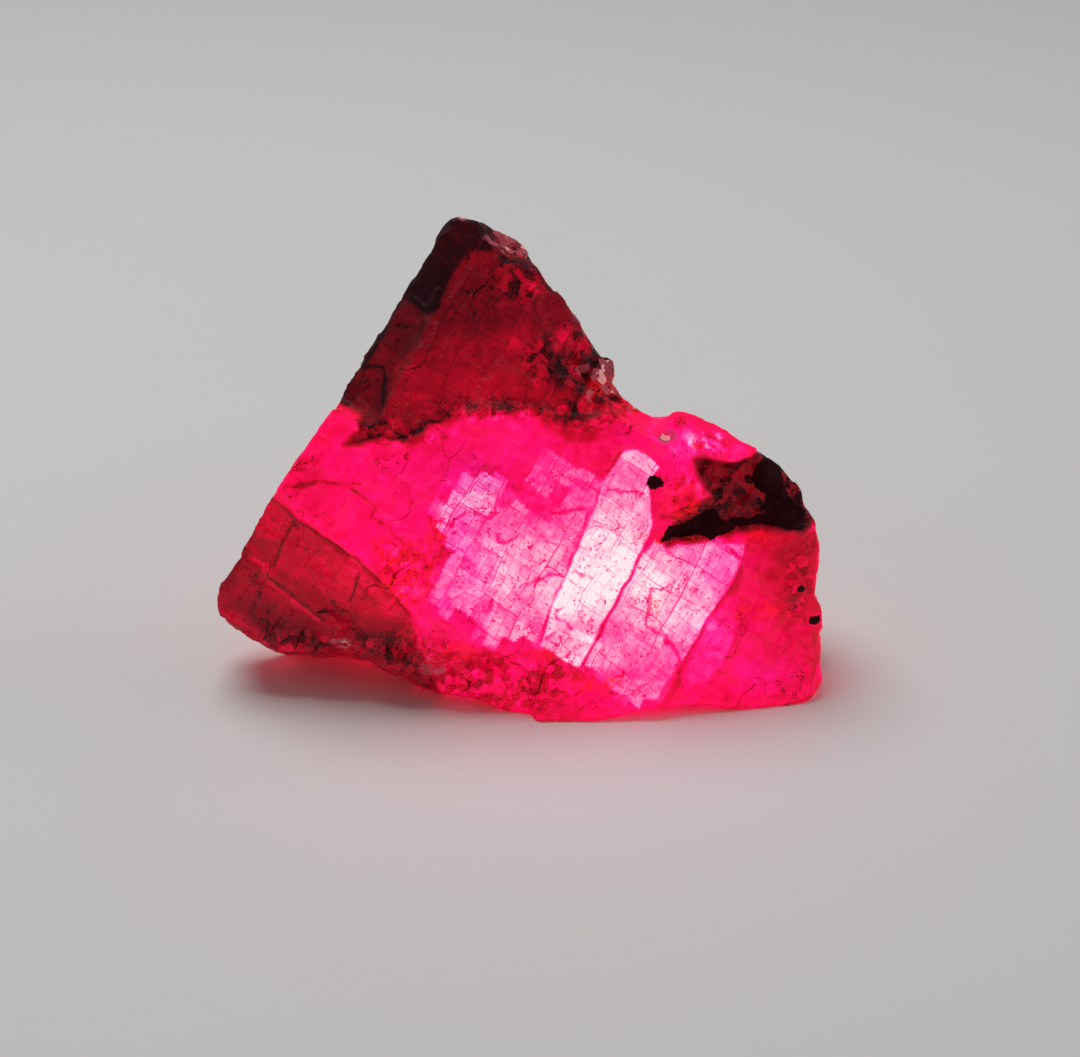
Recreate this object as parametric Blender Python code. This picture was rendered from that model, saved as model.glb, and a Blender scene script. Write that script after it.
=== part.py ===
"""A raw ruby crystal: one grown piece of corundum, leaning back a little on a parting face.

The stone is drawn as it is seen from the front: x runs to the right and h up the face, both from the
middle of the lower edge, and y runs back through the stone. It is shaped in millimetres, leaned back,
cut flat underneath and scaled to metres as the last step.
"""

import math

import bmesh
import bpy
from mathutils import Matrix, Vector, noise

# Driving dimensions, in millimetres and degrees
THICKNESS = 9.0
LEAN_DEG = 14.0
LAMELLA_DEG = 61.0
MM = 0.001

# How far the sides sink for each millimetre they run back
SIDE_RAKE = 0.20

# How far in front of the stone the cutting blocks start
CLEAR = 3.0
CUT_TOLERANCE = 1e-5

# The grain of the mesh while it is weathered, and the triangles left at the end
GRAIN = 0.2
TRIANGLES = 9000

# The outline of the face, clockwise from the tip
OUTLINE = [
    (-2.3, 19.9), (-1.4, 19.8), (-0.9, 19.5), (-0.2, 19.1), (0.3, 18.6), (0.7, 18.0), (1.8, 16.6),
    (3.0, 15.0), (3.4, 14.4), (3.6, 13.6), (4.1, 13.1), (4.7, 12.5), (5.4, 12.2), (5.9, 12.3),
    (6.7, 12.2), (7.6, 11.9), (9.2, 11.0), (10.3, 10.2), (10.9, 9.6), (11.2, 9.1), (11.3, 8.3),
    (11.6, 7.8), (11.8, 6.9), (11.8, 6.0), (11.7, 5.1), (12.0, 4.3), (12.0, 1.6), (11.4, 0.8),
    (10.3, 0.5), (8.6, 0.5), (6.7, 0.7), (4.7, 0.5), (3.1, 0.1), (1.2, -0.6), (0.1, 0.2),
    (-0.7, 0.5), (-1.9, 1.0), (-3.2, 1.1), (-4.0, 1.3), (-4.8, 1.8), (-5.4, 2.2), (-5.9, 2.4),
    (-6.5, 2.4), (-7.1, 2.6), (-7.7, 2.5), (-8.3, 2.6), (-9.2, 2.6), (-9.9, 2.9), (-11.4, 3.8),
    (-11.8, 4.2), (-12.0, 4.7), (-11.9, 5.2), (-10.7, 7.3), (-8.9, 10.0), (-7.2, 12.3),
    (-7.0, 12.7), (-6.9, 13.1), (-3.5, 18.6), (-3.0, 19.4), (-2.7, 19.8),
]

# Flat faces that cut across the whole stone: a point on each as (x, y, h), and its outward direction
CRYSTAL_FACES = {
    "left_prism": ((-9.45, 0.0, 9.4), (-0.85, 0.18, 0.52)),
    "right_lobe": ((6.6, 0.0, 5.0), (0.18, -0.98, 0.03)),
    "right_rim": ((11.6, 1.7, 5.0), (0.70, -0.71, 0.0)),
    "right_shoulder": ((10.2, 1.6, 10.2), (0.45, -0.70, 0.55)),
    "lower_left": ((-6.0, 0.0, 6.0), (-0.12, -0.98, -0.14)),
    "upper_back": ((0.0, 9.0, 9.0), (0.0, 0.96, 0.28)),
    "left_back": ((-5.0, 9.0, 8.0), (-0.36, 0.93, 0.0)),
    "right_back": ((6.5, 9.0, 6.0), (0.45, 0.89, 0.05)),
    "low_right_back": ((9.0, 8.0, 2.0), (0.60, 0.70, -0.38)),
}

# Ledges broken into the stone: an outline, the depth of the floor at a point (x, h), and how the floor falls
# along x and h. A negative depth is a ledge on the back.
LEDGES = {
    "upper_set_back": (
        [(-8.0, 12.9), (-7.0, 12.4), (-6.3, 11.9), (-5.4, 11.7), (-4.6, 11.3), (-3.2, 11.9),
         (-2.0, 12.3), (0.4, 12.4), (1.6, 11.9), (3.1, 12.0), (4.3, 12.5), (6.0, 13.4), (3.0, 21.0),
         (-8.0, 21.0)],
        (0.14, (0.0, 12.0)), (0.03, 0.22),
    ),
    "upper_left_facet": (
        [(-8.0, 12.9), (-7.0, 12.3), (-6.3, 11.9), (-5.6, 11.7), (-4.7, 13.3), (-3.3, 15.9), (-2.6, 17.3),
         (-1.9, 18.7), (-2.0, 21.0), (-8.0, 21.0)],
        (0.95, (-4.6, 13.3)), (-0.42, 0.22),
    ),
    "low_left_terrace": (
        [(-11.0, 10.3), (-9.6, 9.2), (-8.4, 8.1), (-4.2, 4.4), (-3.2, 2.6), (-3.6, -1.0), (-13.0, -1.0),
         (-13.0, 9.0)],
        (0.36, (-6.0, 6.0)), (-0.16, -0.16),
    ),
    "low_left_step": (
        [(-10.9, 8.0), (-10.2, 7.3), (-9.1, 7.0), (-9.7, 5.6), (-7.9, 4.0), (-6.6, 3.1), (-6.4, -1.0),
         (-13.0, -1.0), (-13.0, 8.0)],
        (0.95, (-8.0, 5.0)), (-0.16, -0.16),
    ),
    "right_field": (
        [(9.0, 7.4), (8.3, 5.6), (7.1, 3.8), (6.4, 2.3), (5.4, 0.4), (5.0, -2.0), (13.0, -2.0),
         (13.0, 7.4)],
        (0.42, (6.6, 4.0)), (0.24, 0.0),
    ),
    "bright_band": (
        [(4.0, 10.9), (3.0, 8.8), (2.2, 6.4), (1.2, 4.0), (0.8, 3.1), (2.7, 3.0), (3.6, 4.6),
         (4.6, 6.8), (5.2, 8.8), (5.1, 10.3)],
        (0.16, (3.0, 6.0)), (0.0, 0.05),
    ),
    "low_break": (
        [(-6.0, 3.2), (-4.2, 2.9), (-2.6, 2.6), (-1.0, 2.7), (0.2, 2.2), (0.6, 1.2), (0.4, -2.0),
         (-6.4, -2.0)],
        (0.35, (-2.0, 2.6)), (-0.06, -0.22),
    ),
    "shoulder_break": (
        [(1.2, 17.8), (0.6, 16.2), (1.2, 14.8), (1.6, 13.6), (3.0, 12.9), (4.4, 11.6), (5.3, 11.3),
         (6.0, 12.4), (4.2, 14.2), (2.2, 17.2)],
        (1.90, (3.0, 14.0)), (0.30, 0.16),
    ),
    "tip_break": (
        [(-1.3, 20.4), (-1.5, 19.2), (-0.9, 18.4), (0.0, 17.9), (0.9, 17.6), (1.8, 17.9), (0.0, 20.4)],
        (3.0, (0.0, 18.6)), (0.45, 0.30),
    ),
    "matrix_bay": (
        [(5.5, 7.2), (6.0, 7.8), (6.7, 8.0), (7.9, 8.8), (8.7, 9.4), (7.1, 9.6), (6.8, 10.0),
         (6.9, 10.5), (7.6, 10.1), (8.7, 10.1), (9.4, 10.6), (9.8, 10.7), (10.7, 9.8), (11.1, 9.2),
         (11.2, 8.2), (10.9, 7.4), (9.5, 7.2), (8.7, 7.4), (7.6, 7.1), (6.7, 7.3), (6.1, 6.9)],
        (1.55, (9.0, 8.5)), (0.28, 0.10),
    ),
    "back_terrace": (
        [(-4.0, 15.0), (-2.0, 9.6), (4.6, 12.8), (6.5, 12.0), (3.0, 21.0), (-4.0, 21.0)],
        (-8.0, (0.0, 12.0)), (0.0, 0.33),
    ),
    "back_low_step": (
        [(-13.0, 8.6), (-5.0, 3.9), (2.6, -0.6), (2.0, -3.0), (-13.0, -3.0)],
        (-8.1, (-4.0, 3.0)), (-0.36, -0.10),
    ),
    "back_chip": (
        [(4.6, 9.4), (8.4, 7.0), (13.0, 9.0), (9.0, 13.0)],
        (-7.0, (8.0, 9.0)), (0.35, 0.10),
    ),
}

# Round pits: the middle as (x, y, h), and the half sizes along the lamellae, through the stone and across
PITS = {
    "spot": ((5.2, 0.0, 9.5), (0.42, 0.5, 0.26)),
    "rim_pit_low": ((11.5, 2.6, 3.75), (0.35, 0.7, 0.30)),
    "rim_pit_high": ((11.0, 2.0, 4.75), (0.40, 0.5, 0.25)),
}

# Broken zones, where the surface is lumpy: the middle as (x, y, h), the reach, and the relief
BROKEN_ZONES = {
    "foot": ((-2.5, 1.0, 1.6), 3.2, 0.18),
    "left_foot": ((-7.5, 1.5, 2.6), 2.0, 0.16),
    "shoulder": ((3.2, 2.0, 13.8), 2.3, 0.30),
    "tip": ((0.2, 2.6, 18.4), 1.8, 0.24),
    "matrix": ((9.0, 1.4, 8.8), 2.4, 0.36),
    "ledge": ((-4.4, 0.8, 11.6), 1.4, 0.16),
    "back_break": ((-6.0, 7.6, 7.4), 3.0, 0.20),
    "back_rim": ((5.0, 7.0, 10.6), 2.6, 0.22),
}
SIDE_RELIEF = 0.09
LEFT_RELIEF = 0.03
LEFT_FACING = -0.5
LUMPS_PER_MM = 0.9
LUMP_ROUGHNESS = 0.8
LUMP_LACUNARITY = 2.1
LUMP_OCTAVES = 4

# The stone is smooth next to the resting face, and fully rough from this height
QUIET_HEIGHT = 1.2

# Blocks between the partings: how high they stand over each other, their size along the lamellae, through the
# stone and across, and how far the partings stray from an even spacing
BLOCK_STEP = 0.075
BLOCK = Vector((2.4, 2.6, 1.5))
BLOCK_STRAY = 0.8
STRAY_SPACING = 3.0

# Where the stone is rough, the partings wander: how much, and three places far apart to read the noise at
WANDER = 1.5
SHIFTS = [Vector((0, 0, 0)), Vector((31, 0, 0)), Vector((0, 57, 0))]


def clear_scene():
    for obj in list(bpy.data.objects):
        bpy.data.objects.remove(obj)


def add_object(name, mesh_data):
    obj = bpy.data.objects.new(name, mesh_data)
    bpy.context.scene.collection.objects.link(obj)
    return obj


def prism(name, outline, front, back, rake=0.0):
    """A closed block over an outline. front and back give y at each (x, h); the rake sinks its sides."""
    shape = bmesh.new()
    near = [shape.verts.new((x, front(x, h), h)) for x, h in outline]
    far = [shape.verts.new((x, back(x, h), h - rake * back(x, h))) for x, h in outline]
    shape.faces.new(near)
    shape.faces.new(far[::-1])
    for i in range(len(outline)):
        shape.faces.new((near[i - 1], far[i - 1], far[i], near[i]))
    bmesh.ops.recalc_face_normals(shape, faces=shape.faces)
    mesh_data = bpy.data.meshes.new(name)
    shape.to_mesh(mesh_data)
    shape.free()
    return add_object(name, mesh_data)


def level(depth):
    """y of a plane at one depth all over."""
    return lambda x, h: depth


def floor_plane(depth_at, fall):
    """y of a plane with this depth at a point, and how it falls for each millimetre of x and of h."""
    depth, (x_ref, h_ref) = depth_at
    fall_x, fall_h = fall
    return lambda x, h: depth + fall_x * (x - x_ref) + fall_h * (h - h_ref)


def back_plane(depth_at, fall):
    """As floor_plane, for a ledge on the back: its depth is a negative number, and it falls to the front."""
    depth, reference = depth_at
    towards_front = floor_plane((0.0, reference), fall)
    return lambda x, h: -depth - towards_front(x, h)


def bake(obj):
    """Makes what the modifiers show the object's own mesh, and drops them."""
    graph = bpy.context.evaluated_depsgraph_get()
    baked = bpy.data.meshes.new_from_object(obj.evaluated_get(graph))
    obj.modifiers.clear()
    obj.data = baked


def join(obj, other, operation):
    boolean = obj.modifiers.new(other.name, "BOOLEAN")
    boolean.operation = operation
    boolean.object = other
    boolean.solver = "EXACT"
    bake(obj)
    bpy.data.objects.remove(other)


def reshape(obj, change):
    """Runs change on a bmesh of the object's mesh."""
    shape = bmesh.new()
    shape.from_mesh(obj.data)
    change(shape)
    shape.to_mesh(obj.data)
    shape.free()


def slice_off(shape, point, outward):
    """Cuts away what lies past a plane, and closes the cut with a flat face."""
    everything = shape.verts[:] + shape.edges[:] + shape.faces[:]
    cut = bmesh.ops.bisect_plane(
        shape, geom=everything, dist=CUT_TOLERANCE, plane_co=point, plane_no=outward, clear_outer=True
    )
    rim = [item for item in cut["geom_cut"] if isinstance(item, bmesh.types.BMEdge)]
    bmesh.ops.holes_fill(shape, edges=rim)


def cut_crystal_faces(shape):
    for point, outward in CRYSTAL_FACES.values():
        slice_off(shape, Vector(point), Vector(outward).normalized())


def cut_ledge(obj, name):
    outline, depth_at, fall = LEDGES[name]
    if depth_at[0] > 0:
        cutter = prism(name, outline, level(-CLEAR), floor_plane(depth_at, fall))
    else:
        cutter = prism(name, outline, level(THICKNESS + CLEAR), back_plane(depth_at, fall))
    join(obj, cutter, "DIFFERENCE")


def cut_pit(obj, name):
    centre, half_sizes = PITS[name]
    shape = bmesh.new()
    bmesh.ops.create_icosphere(shape, subdivisions=2, radius=1.0)
    along_lamellae = Matrix.Rotation(-math.radians(LAMELLA_DEG), 4, "Y")
    place = Matrix.Translation(centre) @ along_lamellae @ Matrix.Diagonal((*half_sizes, 1.0))
    bmesh.ops.transform(shape, matrix=place, verts=shape.verts)
    mesh_data = bpy.data.meshes.new(name)
    shape.to_mesh(mesh_data)
    shape.free()
    join(obj, add_object(name, mesh_data), "DIFFERENCE")


def roughness_at(point, normal):
    """How lumpy it is: smooth on the flat faces, nearly so on the left side, and most in the broken zones."""
    side_relief = LEFT_RELIEF if normal.x < LEFT_FACING else SIDE_RELIEF
    rough = side_relief * (1 - abs(normal.y)) ** 2
    for middle, reach, height in BROKEN_ZONES.values():
        away = (point - Vector(middle)).length / reach
        if away < 1:
            rough = max(rough, height * (1 - away * away))
    return rough


def over_rest(point):
    """The height over the plane the stone rests on, once it leans back."""
    lean = math.radians(LEAN_DEG)
    return point.z * math.cos(lean) - point.y * math.sin(lean)


def block_position(lattice):
    """A place counted in blocks along each direction of the lattice, whose blocks are not all one size."""
    stray = [BLOCK_STRAY * noise.noise((a / STRAY_SPACING, 0.0, 0.0)) for a in lattice]
    return Vector([a / b + s for a, b, s in zip(lattice, BLOCK, stray)])


def weather(shape):
    """Moves each point along its normal by lumps, and by blocks, which show where it is flat or broken."""
    to_lattice = Matrix.Rotation(math.radians(LAMELLA_DEG), 3, "Y")
    moved = []
    for vert in shape.verts:
        rough = roughness_at(vert.co, vert.normal)
        lattice = to_lattice @ vert.co
        wander = Vector([noise.noise(vert.co + shift) for shift in SHIFTS])
        in_blocks = block_position(lattice) + WANDER * rough * wander
        lumps = rough * noise.fractal(vert.co * LUMPS_PER_MM, LUMP_ROUGHNESS, LUMP_LACUNARITY, LUMP_OCTAVES)
        step = BLOCK_STEP * abs(vert.normal.y) + rough
        blocks = step * (noise.cell(in_blocks) - 0.5)
        quiet = min(1.0, max(0.0, over_rest(vert.co) / QUIET_HEIGHT))
        moved.append(vert.normal * quiet * (lumps + blocks))
    for vert, move in zip(shape.verts, moved):
        vert.co += move


def lean_and_seat(shape):
    """Leans the stone back, cuts it flat where it rests, and puts the middle of its box over the origin."""
    shape.transform(Matrix.Rotation(-math.radians(LEAN_DEG), 4, "X"))
    slice_off(shape, Vector((0, 0, 0)), Vector((0, 0, -1)))
    bmesh.ops.triangulate(shape, faces=shape.faces)
    corners = [vert.co for vert in shape.verts]
    middle_x = (min(c.x for c in corners) + max(c.x for c in corners)) / 2
    middle_y = (min(c.y for c in corners) + max(c.y for c in corners)) / 2
    shape.transform(Matrix.Scale(MM, 4) @ Matrix.Translation((-middle_x, -middle_y, 0)))


def ruby_material():
    material = bpy.data.materials.new("ruby")
    material.use_nodes = True
    shader = material.node_tree.nodes["Principled BSDF"]
    shader.inputs["Base Color"].default_value = (0.80, 0.01, 0.12, 1.0)
    shader.inputs["Roughness"].default_value = 0.25
    shader.inputs["Metallic"].default_value = 0.0
    shader.inputs["IOR"].default_value = 1.77
    return material


def even_out(obj):
    """Gives the surface one fine, even grain, so that it can be weathered."""
    remesh = obj.modifiers.new("even_grain", "REMESH")
    remesh.mode = "VOXEL"
    remesh.voxel_size = GRAIN
    bake(obj)


def thin_out(obj):
    """Leaves few triangles on the flat faces and more where the surface is broken."""
    triangles_before = 2 * len(obj.data.polygons)
    decimate = obj.modifiers.new("fewer_faces", "DECIMATE")
    decimate.ratio = TRIANGLES / triangles_before
    bake(obj)


def make_ruby_crystal():
    stone = prism("ruby_crystal", OUTLINE, level(0.0), level(THICKNESS), SIDE_RAKE)
    reshape(stone, cut_crystal_faces)
    for name in LEDGES:
        cut_ledge(stone, name)
    for name in PITS:
        cut_pit(stone, name)
    even_out(stone)
    reshape(stone, weather)
    thin_out(stone)
    reshape(stone, lean_and_seat)
    stone.data.materials.clear()
    stone.data.materials.append(ruby_material())
    stone.data.shade_flat()


clear_scene()
make_ruby_crystal()
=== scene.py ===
"""Gives the raw ruby crystal its weathered surface and its look, and sets it on a pale floor.

The stone's own frame is used throughout: millimetres, x to the right and z up its flat front face, y back
through the stone. The stone leans back from that frame by LEAN_DEG, and stands over the origin.
"""

import math

import bmesh
import bpy
import numpy as np
from bpy.props import FloatProperty, FloatVectorProperty, PointerProperty
from mathutils import Matrix, Vector, noise


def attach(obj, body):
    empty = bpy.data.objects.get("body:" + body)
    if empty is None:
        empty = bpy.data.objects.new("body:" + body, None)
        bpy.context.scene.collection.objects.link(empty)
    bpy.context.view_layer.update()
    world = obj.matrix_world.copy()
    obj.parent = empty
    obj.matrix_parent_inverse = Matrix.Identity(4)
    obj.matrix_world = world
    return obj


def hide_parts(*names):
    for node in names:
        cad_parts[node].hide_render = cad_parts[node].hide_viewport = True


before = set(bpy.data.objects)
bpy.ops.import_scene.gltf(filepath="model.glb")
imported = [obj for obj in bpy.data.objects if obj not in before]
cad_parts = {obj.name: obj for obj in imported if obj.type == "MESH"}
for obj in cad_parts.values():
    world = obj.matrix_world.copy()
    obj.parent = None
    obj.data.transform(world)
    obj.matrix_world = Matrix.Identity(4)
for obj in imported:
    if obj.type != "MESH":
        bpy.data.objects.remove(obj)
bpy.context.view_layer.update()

bl_info = {
    "name": "Raw Ruby Crystal",
    "version": (1, 0, 0),
    "blender": (4, 5, 0),
    "location": "View3D > Sidebar > Ruby",
    "description": "Weathers and finishes a raw ruby crystal, and lights it on a pale floor",
    "category": "Object",
}

MM = 0.001
LEAN_DEG = 14.0
STONE_TO_WORLD = (
    Matrix.Translation((-0.0353 * MM, -5.4666 * MM, 0.0))
    @ Matrix.Rotation(-math.radians(LEAN_DEG), 4, "X")
    @ Matrix.Scale(MM, 4)
)
WORLD_TO_STONE = STONE_TO_WORLD.inverted()

# The stone parts along lamellae that climb to the right, and along cross partings that fall to the right
LAMELLA_DEG = 61.5
CROSS_DEG = -34.0


def square_to(degrees):
    """The direction on the front face that is square to a line climbing at this angle."""
    angle = math.radians(degrees)
    return Vector((math.sin(angle), 0.0, -math.cos(angle)))


ACROSS_LAMELLAE = square_to(LAMELLA_DEG)
ACROSS_CROSS = -square_to(CROSS_DEG)

# Mesh grain, and the height over the floor below which the surface is left as the resting face has it
GRAIN = 0.155
FRONT_FACING = 0.8
QUIET_HEIGHT = 0.9
MERGE_DISTANCE = 1e-7
CREASE_DEG = 32.0
FAR_AWAY = 1e9

# Relief: the bands and blocks of the flat faces, and the lumps and shards of the rough ones, in millimetres
STEP_BAND = 0.85
STEP_BLOCK = 0.75
STEP_WAVE = 0.25
STEP_WAVES_PER_MM = 0.35
FLAT_FROM = 0.6
FLAT_BLEND = 0.3
LUMPS_PER_MM = 1.5
LUMP_ROUGHNESS = 0.8
LUMP_LACUNARITY = 2.1
LUMP_OCTAVES = 4
SHARD_SIZE = (0.75, 0.9, 0.85)
SHARD_SHARE = 1.2
# Seeds that keep the random shifts, bands and blocks apart
SHIFT_SEED = 7
BAND_SEED = 1
BLOCK_SEED = 2

# Zones of the front face, as outlines in x and z
UPPER_DARK = [
    (-8.0, 12.9), (-7.0, 12.5), (-6.2, 12.0), (-6.1, 11.5), (-6.8, 11.0), (-6.2, 10.9), (-5.2, 11.2),
    (-4.6, 11.0), (-4.0, 11.4), (-3.0, 11.8), (-2.3, 12.3), (0.6, 12.3), (1.1, 11.9), (2.2, 11.9),
    (3.1, 12.1), (4.1, 12.6), (6.0, 13.4), (3.0, 21.0), (-8.0, 21.0),
]
UPPER_LOW = [
    (-5.2, 11.2), (-4.9, 13.2), (-4.4, 14.4), (-2.6, 15.0), (0.2, 15.4), (0.6, 13.8), (2.4, 13.0),
    (4.1, 12.6), (3.1, 12.1), (1.1, 11.9), (0.6, 12.3), (-2.3, 12.3), (-3.0, 11.8), (-4.0, 11.4),
]
LEFT_STRIP = [
    (-8.0, 12.9), (-6.9, 12.3), (-5.3, 12.1), (-5.0, 13.2), (-4.5, 14.2), (-3.8, 14.9), (-3.1, 16.1),
    (-2.7, 17.4), (-1.7, 18.8), (-1.5, 20.5), (-8.0, 21.0),
]
STRIP_TOP = [
    (-5.4, 17.2), (-4.6, 16.5), (-4.1, 16.2), (-3.6, 15.8), (-3.1, 16.1), (-2.8, 17.0), (-2.0, 18.3),
    (-1.1, 18.2), (-0.9, 18.8), (-1.3, 20.5), (-7.0, 21.0),
]
UPPER_BREAK = [
    (0.9, 14.3), (1.6, 14.3), (2.0, 14.9), (2.8, 14.6), (3.3, 14.2), (2.9, 13.4), (2.2, 13.2), (1.6, 13.4),
    (1.1, 13.5),
]
UNDER_LEDGE = [
    (0.7, 12.2), (1.1, 11.6), (1.8, 11.1), (2.8, 11.0), (3.6, 11.4), (4.1, 12.0), (4.0, 12.6), (2.2, 12.0),
    (1.2, 11.9),
]
LOW_LEFT = [
    (-11.5, 9.6), (-9.7, 8.9), (-8.6, 8.0), (-7.0, 7.0), (-6.0, 6.2), (-4.9, 5.2), (-4.3, 4.2), (-3.9, 3.0),
    (-3.0, 0.5), (-13.0, 0.5),
]
LOW_WEDGE = [(-6.9, 6.8), (-6.0, 6.2), (-4.9, 5.2), (-4.3, 4.2), (-5.2, 4.2), (-5.8, 5.2), (-6.6, 6.0)]
LEFT_PANEL = [(-11.5, 9.6), (-9.7, 8.9), (-8.6, 8.0), (-9.1, 7.2), (-9.3, 6.9), (-10.9, 7.5)]
LEFT_STRIPE = [(-11.8, 7.8), (-10.9, 7.5), (-9.2, 6.9), (-9.6, 6.0), (-10.6, 6.3), (-12.4, 6.8)]
MIDDLE_STRIPE = [
    (-9.6, 6.0), (-8.6, 5.6), (-6.9, 4.5), (-5.7, 3.9), (-6.0, 3.3), (-8.0, 4.1), (-9.0, 4.9), (-9.8, 5.5),
]
LOW_CORNER = [
    (-12.6, 6.3), (-10.6, 6.3), (-9.9, 6.0), (-9.8, 5.5), (-8.8, 4.8), (-7.8, 4.0), (-6.4, 3.2), (-4.4, 2.6),
    (-3.4, 1.0), (-13.0, 0.5),
]
CORNER_SHADE = [(-11.2, 4.6), (-10.0, 4.6), (-8.2, 3.9), (-7.4, 3.2), (-8.0, 2.8), (-10.2, 3.1)]
LOW_BREAK = [(-6.9, 4.2), (-5.4, 4.1), (-4.4, 3.8), (-4.2, 2.9), (-5.0, 2.2), (-6.6, 3.0)]
LOW_MIDDLE = [(-3.8, 3.2), (-2.2, 2.9), (0.6, 2.5), (2.0, 1.6), (2.6, 0.4), (2.0, -1.0), (-4.0, -1.0)]
LEFT_BLOCKS = [
    (-3.1, 9.0), (-2.3, 9.0), (-1.6, 9.0), (-0.2, 8.7), (1.0, 8.3), (1.6, 8.9), (3.1, 9.3), (2.9, 8.6),
    (2.2, 6.9), (1.7, 5.8), (1.2, 4.6), (0.85, 3.2), (-0.3, 3.1), (-1.4, 3.1), (-1.8, 3.9), (-2.8, 4.5),
    (-3.4, 5.3), (-3.3, 5.9), (-2.6, 6.4), (-2.5, 6.9), (-3.1, 7.5), (-3.3, 8.2),
]
HIGH_BLOCKS = [
    (-2.7, 8.8), (-1.6, 10.0), (-0.9, 10.0), (-0.1, 9.3), (0.5, 10.1), (1.0, 10.5), (1.6, 10.4), (2.1, 9.8),
    (3.0, 9.8), (3.0, 9.1), (1.6, 9.1), (0.0, 8.9), (-1.6, 8.6),
]
MAGENTA_WEDGE = [
    (0.1, 9.2), (1.4, 9.3), (1.6, 9.0), (1.1, 8.6), (1.0, 8.0), (0.4, 7.9), (0.0, 8.5), (-0.6, 8.9),
]
BACKLIT_BAND = [
    (4.1, 10.7), (4.5, 10.8), (5.4, 10.1), (5.0, 9.5), (5.1, 8.4), (5.0, 7.4), (4.6, 6.7), (4.2, 5.7),
    (3.7, 4.8), (3.2, 3.9), (2.9, 3.1), (2.3, 2.1), (1.2, 2.8), (0.75, 3.1), (1.2, 4.6), (1.75, 5.8),
    (2.2, 6.9), (2.8, 8.6), (3.1, 9.4),
]
RIGHT_BLOCKS = [
    (5.0, 6.9), (5.5, 7.0), (6.2, 7.2), (7.3, 7.2), (8.8, 6.9), (8.6, 6.0), (8.0, 5.0), (7.35, 4.1),
    (6.9, 3.2), (6.2, 2.1), (5.9, 1.4), (5.4, 0.9), (4.4, 0.9), (3.6, 1.3), (3.3, 1.9), (2.6, 2.2),
    (2.95, 3.0), (3.3, 3.9), (4.25, 5.6), (4.7, 6.7),
]
RIGHT_FIELD = [
    (9.3, 7.4), (8.8, 6.9), (8.6, 6.0), (8.0, 5.0), (7.35, 4.1), (6.9, 3.2), (6.2, 2.1), (5.5, 0.8),
    (5.0, -2.0), (13.0, -2.0), (13.0, 7.2),
]
RIGHT_STRIP = [
    (6.3, 2.2), (6.9, 3.2), (7.35, 4.1), (8.0, 4.9), (8.5, 4.6), (8.3, 3.2), (7.8, 2.1), (7.2, 1.4),
    (6.4, 1.5),
]
MATRIX = [
    (5.5, 7.2), (5.7, 7.7), (6.4, 7.8), (6.9, 8.25), (7.6, 8.3), (7.9, 7.8), (8.9, 7.75), (9.5, 7.9),
    (9.6, 8.7), (9.0, 9.2), (9.3, 9.8), (9.6, 10.3), (10.1, 10.1), (10.3, 9.1), (10.7, 8.4), (11.1, 8.1),
    (11.0, 7.4), (10.5, 7.35), (9.5, 7.5), (8.7, 7.5), (8.0, 7.3), (7.5, 7.1), (6.8, 7.4), (6.3, 7.2),
]
RUSTY = [
    (6.7, 10.4), (7.1, 10.4), (8.0, 10.1), (8.9, 10.2), (9.5, 10.7), (9.9, 10.7), (10.5, 10.0), (11.3, 9.6),
    (11.9, 8.8), (11.8, 7.9), (11.0, 7.3), (10.3, 7.4), (8.7, 7.3), (7.1, 7.2), (5.7, 7.0), (5.5, 7.3),
    (6.7, 8.5), (7.4, 8.9), (7.0, 9.4), (6.8, 9.7),
]

# Tone of each zone from black to white, and the softness of its edge. Each is laid over those before it.
# The tones are partly the stone's own colour and partly painted light: the white-hot band and pale blocks are
# painted light from behind shining through, and the dark upper part and left strips are painted shade where
# less of it reaches
BODY_TONE = 0.55
STEPPED_ZONES = [
    (HIGH_BLOCKS, 0.75, 0.25), (LEFT_BLOCKS, 0.79, 0.25), (MAGENTA_WEDGE, 0.63, 0.2),
    (RIGHT_BLOCKS, 0.8, 0.25),
]
ZONE_TONES = [
    (RIGHT_BLOCKS, 0.8, 0.1), (BACKLIT_BAND, 0.91, 0.08), (RIGHT_FIELD, 0.51, 0.08), (RIGHT_STRIP, 0.63, 0.2),
    (LOW_MIDDLE, 0.47, 0.9), (LOW_LEFT, 0.34, 0.14), (LOW_WEDGE, 0.42, 0.25), (LEFT_PANEL, 0.37, 0.15),
    (LEFT_STRIPE, 0.29, 0.15), (MIDDLE_STRIPE, 0.25, 0.3), (LOW_CORNER, 0.25, 0.1),
    (CORNER_SHADE, 0.17, 0.6), (LOW_BREAK, 0.22, 0.4), (UNDER_LEDGE, 0.42, 0.3), (UPPER_DARK, 0.16, 0.25),
    (UPPER_LOW, 0.25, 0.8), (UPPER_BREAK, 0.1, 0.6), (LEFT_STRIP, 0.12, 0.12), (STRIP_TOP, 0.0, 0.15),
    (RUSTY, 0.1, 0.25),
]
# The back has a darker tone of its own; the front's lighter tones carry the painted light from behind
BACK_TONE = 0.42
BACK_CHANGE = 0.16
BACK_BLOCK_SIZE = (1.7, 2.4, 2.1)
# Zones where the lattice of partings shows strongest, and how strongly it shows elsewhere
LATTICE_ZONES = [HIGH_BLOCKS, LEFT_BLOCKS, RIGHT_BLOCKS, BACKLIT_BAND]
FAINT_LATTICE_ZONES = [RIGHT_STRIP, UPPER_DARK, LOW_LEFT]
FAINT_LATTICE = 0.22
MIDDLE_LATTICE = 0.42
LATTICE_SOFT = 0.5

# Blocks that the stepped zones' edges follow: their width across the lamellae, and their length
BLOCK_WIDTH = 0.55
BLOCK_LENGTH = 0.80
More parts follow.
